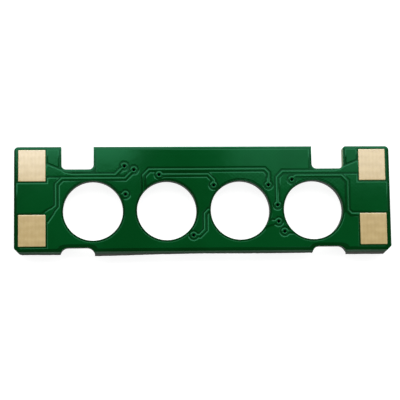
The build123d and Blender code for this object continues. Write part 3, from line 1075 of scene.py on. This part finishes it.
# Memory chip: a moulded body with drafted sides, soft edges and a round dimple that marks its first lead
bodyLook = {"draft": 10, "band": 0.075, "edge": 0.035, "edgeSteps": 3}
dimpleLook = {
    "place": (-0.95, 0.95),
    "radius": 0.26,
    "segments": 32,
    "dips": ((0.95, 0.024), (0.85, 0.048), (0.6, 0.06), (0.25, 0.06)),  # shares of the radius, and depths
}


def softBlock(mesh, low, high, reach, steps):
    # a block with rounded edges
    place = Matrix.Translation((low + high) / 2) @ Matrix.Diagonal((*(high - low), 1))
    made = bmesh.ops.create_cube(mesh, size=1, matrix=place)
    soften(mesh, list({edge for vert in made["verts"] for edge in vert.link_edges}), reach, steps)


low, high = (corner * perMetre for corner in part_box("memory_body"))
bodyCentre = (low.xy + high.xy) / 2
bodyMesh = bmesh.new()
softBlock(bodyMesh, low, high, bodyLook["edge"], bodyLook["edgeSteps"])
middle = (low.z + high.z) / 2
for height in (middle - bodyLook["band"], middle + bodyLook["band"]):
    everything = [*bodyMesh.verts, *bodyMesh.edges, *bodyMesh.faces]
    bmesh.ops.bisect_plane(
        bodyMesh, geom=everything, dist=near["cut"], plane_co=(0, 0, height), plane_no=(0, 0, 1)
    )
for vert in bodyMesh.verts:
    past = max(0, abs(vert.co.z - middle) - bodyLook["band"])
    shrink = 1 - 2 * past * math.tan(math.radians(bodyLook["draft"])) / (high.x - low.x)
    vert.co.xy = bodyCentre + (vert.co.xy - bodyCentre) * shrink
# the dimple is sunk into the lowest face, which is the outer one
outer = min(bodyMesh.faces, key=lambda face: (round(face.calc_center_median().z, 4), -face.calc_area()))
rim = list(outer.verts)
bodyMesh.faces.remove(outer)
spot = (bodyCentre + Vector(dimpleLook["place"])).to_3d() + Vector((0, 0, low.z))
ring = bmesh.ops.create_circle(
    bodyMesh, segments=dimpleLook["segments"], radius=dimpleLook["radius"], matrix=Matrix.Translation(spot)
)["verts"]
fillRings(bodyMesh, [rim, ring], -1)
for share, depth in dimpleLook["dips"]:
    turns = [(vert.co - spot).normalized() * dimpleLook["radius"] * share for vert in ring]
    ring = growRing(bodyMesh, ring, [spot + Vector((turn.x, turn.y, depth)) for turn in turns])
bmesh.ops.contextual_create(bodyMesh, geom=ring)
bmesh.ops.recalc_face_normals(bodyMesh, faces=bodyMesh.faces)
makeObject("memoryBody", bodyMesh, "mould", ["memory_body"])


def looseBoxes(node):
    # the low and high corners of each separate solid of a node
    mesh = mergedCopy(node)
    waiting = set(mesh.verts)
    boxes = []
    while waiting:
        group, queue = set(), [waiting.pop()]
        while queue:
            vert = queue.pop()
            group.add(vert)
            for edge in vert.link_edges:
                other = edge.other_vert(vert)
                if other in waiting:
                    waiting.remove(other)
                    queue.append(other)
        spans = [[vert.co[axis] for vert in group] for axis in range(3)]
        boxes.append((Vector([min(span) for span in spans]), Vector([max(span) for span in spans])))
    mesh.free()
    return boxes


# Leads: flat ribbons that bend down softly from the body to their feet
leadLook = {
    "thickness": 0.15,
    "foot": 0.55,
    "shoulder": 0.25,
    "root": 0.1,
    "bend": 0.09,
    "bendSteps": 6,
    "edge": 0.02,
    "edgeSteps": 2,
    "edgeAngle": 1,
}


def addLead(mesh, low, high):
    # a ribbon along the outer face of the bends, thickened towards the board and softened at its edges
    side = math.copysign(1, low.x - bodyCentre.x)
    inner, outer = sorted((abs(low.x - bodyCentre.x), abs(high.x - bodyCentre.x)))
    drop = high.z - low.z - leadLook["thickness"]
    slope = outer - leadLook["foot"] - inner - leadLook["shoulder"]
    slant = (math.hypot(slope, drop) - slope) / drop * leadLook["thickness"] / 2
    places = [
        (inner - leadLook["root"], low.z),
        (inner + leadLook["shoulder"] + slant, low.z),
        (outer - leadLook["foot"] + slant, high.z - leadLook["thickness"]),
        (outer, high.z - leadLook["thickness"]),
    ]
    lead = bmesh.new()
    line = [lead.verts.new((bodyCentre.x + side * reach, low.y, height)) for reach, height in places]
    edges = [lead.edges.new(pair) for pair in zip(line, line[1:])]
    wide = vertsIn(bmesh.ops.extrude_edge_only(lead, edges=edges)["geom"])
    bmesh.ops.translate(lead, vec=(0, high.y - low.y, 0), verts=wide)
    bends = [edge for edge in lead.edges if len(edge.link_faces) == 2]
    soften(lead, bends, leadLook["bend"], leadLook["bendSteps"])
    lead.normal_update()
    if lead.faces[:][0].normal.z > 0:
        bmesh.ops.reverse_faces(lead, faces=lead.faces)
    bmesh.ops.solidify(lead, geom=lead.faces[:], thickness=leadLook["thickness"])
    bmesh.ops.recalc_face_normals(lead, faces=lead.faces)
    sharp = [edge for edge in lead.edges if edge.calc_face_angle(0) > leadLook["edgeAngle"]]
    soften(lead, sharp, leadLook["edge"], leadLook["edgeSteps"])
    data = bpy.data.meshes.new("lead")
    lead.to_mesh(data)
    lead.free()
    mesh.from_mesh(data)
    bpy.data.meshes.remove(data)


leadMesh = bmesh.new()
for low, high in looseBoxes("memory_leads"):
    addLead(leadMesh, low, high)
makeObject("memoryLeads", leadMesh, "tin", ["memory_leads"])


# Solder: a hollow slope from each land up to the end and the sides of the metal that it holds
solderLook = {
    "lead": {"toe": 0.29, "margin": 0.045, "climb": 0.11, "beside": 0.06},
    "chip": {"toe": 0.29, "margin": 0.045, "climb": 0.6, "beside": 0.1},
    "grid": 20,
    "flank": 0.6,  # the share of the half width that is under the metal
    "toeCurve": 1.5,
    "hollow": 2.2,
    "crown": 0.35,
    "pinch": 0.12,
    "heel": -0.99,
    "sink": 0.005,
}


def addSolder(mesh, look, end, way, foot, half, climb):
    # way points out of the held metal, which is wetted for a foot's length and half a width on each side
    across = Vector((-way.y, way.x))
    flank = solderLook["flank"]
    count = solderLook["grid"]
    made = bmesh.ops.create_grid(mesh, x_segments=count, y_segments=count, size=1)
    for vert in made["verts"]:
        along, sideways = vert.co.x, abs(vert.co.y)
        run = along * foot if along < 0 else along ** solderLook["toeCurve"] * look["toe"]
        under = min(1, sideways / flank)
        beside = max(0, (sideways - flank) / (1 - flank))
        slide = half * under + look["margin"] * beside
        lift = look["beside"]
        if along >= 0:
            crown = climb * (1 - solderLook["crown"] * under**2)
            lift = (crown if beside == 0 else lift) * (1 - along) ** solderLook["hollow"]
        if along < solderLook["heel"]:
            lift = 0
        pinch = 1 - solderLook["pinch"] * max(0, along) ** 2
        spot = end + way * run + across * math.copysign(slide * pinch, vert.co.y)
        vert.co = (spot.x, spot.y, heights["land"] - lift * (1 - beside) ** 2)


def closeSolder(mesh):
    # the rims are sunk a little into the lands and closed there
    rims = [edge for edge in mesh.edges if edge.is_boundary]
    sunk = vertsIn(bmesh.ops.extrude_edge_only(mesh, edges=rims)["geom"])
    bmesh.ops.translate(mesh, verts=sunk, vec=(0, 0, solderLook["sink"]))
    bmesh.ops.holes_fill(mesh, edges=mesh.edges, sides=0)
    bmesh.ops.recalc_face_normals(mesh, faces=mesh.faces)
    return mesh


jointMesh = bmesh.new()
for low, high in looseBoxes("memory_leads"):
    side = math.copysign(1, low.x - bodyCentre.x)
    end = Vector((max(low.x, high.x, key=lambda x: abs(x - bodyCentre.x)), (low.y + high.y) / 2))
    look, half = solderLook["lead"], (high.y - low.y) / 2
    addSolder(jointMesh, look, end, Vector((side, 0)), leadLook["foot"], half, look["climb"])
makeObject("memoryJoints", closeSolder(jointMesh), "solder", ["memory_joints"])


# Chips: soft ceramic blocks in rounded metal caps
chipLook = {"body": 0.025, "bodySteps": 2, "cap": 0.06, "capSteps": 3}
chipJoints = bmesh.new()
for chip in ("capacitor", "resistor"):
    blockMesh, capMesh = bmesh.new(), bmesh.new()
    low, high = (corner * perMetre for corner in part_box(chip + "_body"))
    softBlock(blockMesh, low, high, chipLook["body"], chipLook["bodySteps"])
    makeObject(chip + "Body", blockMesh, chip + "_ceramic", [chip + "_body"])
    centre = ((low + high) / 2).xy
    for capLow, capHigh in looseBoxes(chip + "_caps"):
        softBlock(capMesh, capLow, capHigh, chipLook["cap"], chipLook["capSteps"])
        way = math.copysign(1, (capLow.y + capHigh.y) / 2 - centre.y)
        end = Vector((centre.x, max(capLow.y, capHigh.y, key=lambda y: abs(y - centre.y))))
        look = solderLook["chip"]
        climb = look["climb"] * (capHigh.z - capLow.z)
        foot, half = capHigh.y - capLow.y, (capHigh.x - capLow.x) / 2
        addSolder(chipJoints, look, end, Vector((0, way)), foot, half, climb)
    makeObject(chip + "Caps", capMesh, "tin", [chip + "_caps"])
makeObject("chipJoints", closeSolder(chipJoints), "solder", ["chip_joints"])
print("stage: parts on the back made")


# Floor, light and camera
stageLook = {
    "floor": 2.0,
    "floorTone": (0.35, 0.35, 0.35, 1),
    "floorGlow": 0.86,
    "sky": 0.25,
    "mirrorSky": 0.15,
    "white": (1, 1, 1, 1),
}
panelLook = {
    "height": 0.3,
    "power": 4,  # watts over a square metre for a glow of 1
    "panels": {
        "key": {"low": (-0.45, 0.1), "high": (0.4, 0.65), "glow": 2.75},
        "west": {"low": (-0.6, -0.25), "high": (-0.16, 0.1), "glow": 0.3},
        "east": {"low": (0.16, -0.25), "high": (0.6, 0.1), "glow": 0.45},
        "left": {"low": (-0.1, 0.051), "high": (0.0, 0.1), "glow": 2.05},
        "right": {"low": (0.03, 0.046), "high": (0.12, 0.1), "glow": 1.2},
    },
}


def rayKinds(tree, *kinds):
    # 1 for rays of these kinds, else 0
    found = [Wire(tree).made("ShaderNodeLightPath", outlet=kind) for kind in kinds]
    return sum(found[1:], found[0]).between(0, 1)


def makeFloorMaterial():
    # white where it is seen or mirrored, and still darkened by the object's shadow
    material = bpy.data.materials.new("studioFloor")
    material.use_nodes = True
    tree = material.node_tree
    tree.nodes.remove(tree.nodes["Principled BSDF"])
    seen = rayKinds(tree, "Is Camera Ray", "Is Glossy Ray", "Is Transmission Ray")
    plain = seen.made("ShaderNodeBsdfDiffuse", {0: stageLook["floorTone"]})
    glow = seen.made("ShaderNodeEmission", {0: stageLook["white"], 1: stageLook["floorGlow"]})
    lit = seen.made("ShaderNodeAddShader", {0: glow, 1: plain})
    shown = seen.made("ShaderNodeMixShader", {0: seen, 1: plain, 2: lit})
    tree.links.new(shown.socket, tree.nodes["Material Output"].inputs["Surface"])
    return material


floorMesh = bmesh.new()
bmesh.ops.create_grid(floorMesh, x_segments=1, y_segments=1, size=stageLook["floor"])
floorData = bpy.data.meshes.new("floor")
floorMesh.to_mesh(floorData)
floorMesh.free()
floorData.materials.append(makeFloorMaterial())
floor = bpy.data.objects.new("floor", floorData)
scene.collection.objects.link(floor)

world = bpy.data.worlds.new("studio")
scene.world = world
world.use_nodes = True
skyTree = world.node_tree
backdrop = skyTree.nodes["Background"]
seen = rayKinds(skyTree, "Is Camera Ray", "Is Transmission Ray")
mirror = rayKinds(skyTree, "Is Glossy Ray")
plainSky = stageLook["sky"] + mirror * (stageLook["mirrorSky"] - stageLook["sky"])
skyTree.links.new((plainSky + seen * (1 - plainSky)).socket, backdrop.inputs["Strength"])
backdrop.inputs["Color"].default_value = stageLook["white"]

# Level panels over the board, dimmer where its flat faces would mirror them
for name, look in panelLook["panels"].items():
    low, high = Vector(look["low"]), Vector(look["high"])
    lamp = bpy.data.lights.new(name + "Panel", "AREA")
    lamp.shape = "RECTANGLE"
    lamp.size, lamp.size_y = high - low
    lamp.energy = panelLook["power"] * lamp.size * lamp.size_y * look["glow"]
    panel = bpy.data.objects.new(name + "Panel", lamp)
    panel.location = ((low + high) / 2).to_3d() + Vector((0, 0, panelLook["height"]))
    scene.collection.objects.link(panel)

# The camera that fits the outline, the holes and the contacts in the photograph
cameraLook = {
    "turn": (-0.1327, 0.0691, 0.0055),
    "slide": (0.000393, 0.0002),
    "distance": 0.15,
    "aim": (0, 0.000245, 0.00208),
    "lens": 127.3,
    "sensor": 36,
    "reach": (0.01, 10),
}
lens = bpy.data.cameras.new("camera")
lens.lens = cameraLook["lens"]
lens.sensor_width = cameraLook["sensor"]
lens.clip_start, lens.clip_end = cameraLook["reach"]
view = bpy.data.objects.new("camera", lens)
turn = Euler(cameraLook["turn"], "XYZ").to_matrix().transposed()
away = turn @ Vector((-cameraLook["slide"][0], -cameraLook["slide"][1], cameraLook["distance"]))
view.matrix_world = Matrix.Translation(Vector(cameraLook["aim"]) + away) @ turn.to_4x4()
scene.collection.objects.link(view)
scene.camera = view
scene.view_settings.view_transform = "Standard"
print("stage: studio made")
